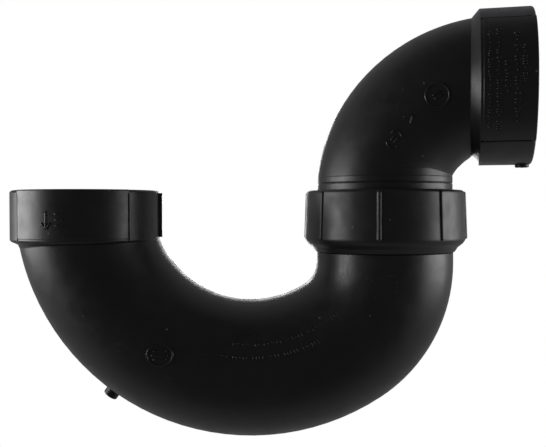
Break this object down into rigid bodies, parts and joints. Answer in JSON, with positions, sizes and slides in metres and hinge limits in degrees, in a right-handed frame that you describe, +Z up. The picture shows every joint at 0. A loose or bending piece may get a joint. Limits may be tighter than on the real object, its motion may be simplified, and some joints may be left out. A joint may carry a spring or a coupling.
{
  "type": "p trap",
  "caption": "Plastic drain P trap with a return bend, a ribbed union nut and a swivelling threaded elbow with solvent sockets.",
  "frame": {"origin": "centre of the inlet socket's pipe stop, where the end of the tailpiece lands", "axes": "+Z up and out of the inlet's mouth, +X from the inlet towards the union, the return bend in the plane Y = 0 with its front facing -Y"},
  "size_m": [0.2026, 0.0704, 0.1609],
  "materials": {
    "trap_plastic": "satin black moulded drain plastic",
    "nut_plastic": "satin black moulded drain plastic, worn on its ribs",
    "washer_rubber": "soft dull rubber"
  },
  "bodies": {
    "return_bend": {"return_bend": "trap_plastic", "union_collar": "trap_plastic"},
    "union_nut": {"union_nut": "nut_plastic"},
    "union_washer": {"union_washer": "washer_rubber"},
    "trap_elbow": {"trap_elbow": "trap_plastic"}
  },
  "joints": [
    {"name": "union_swivel", "type": "hinge", "parent": "return_bend", "child": "union_nut", "pos_m": [0.11525, 0, 0], "axis": [0, 0, 1], "continuous": true},
    {"name": "elbow_lift", "type": "slide", "parent": "union_nut", "child": "union_washer", "axis": [0, 0, 1], "range_m": [0, 0.00995]},
    {"name": "elbow_turn", "type": "hinge", "parent": "union_washer", "child": "trap_elbow", "pos_m": [0.11525, 0, 0], "axis": [0, 0, 1], "range_deg": [0, 1620]}
  ],
  "couplings": [
    {"joint": "elbow_lift", "follows": "elbow_turn", "m_per_rad": 0.00035152}
  ]
}
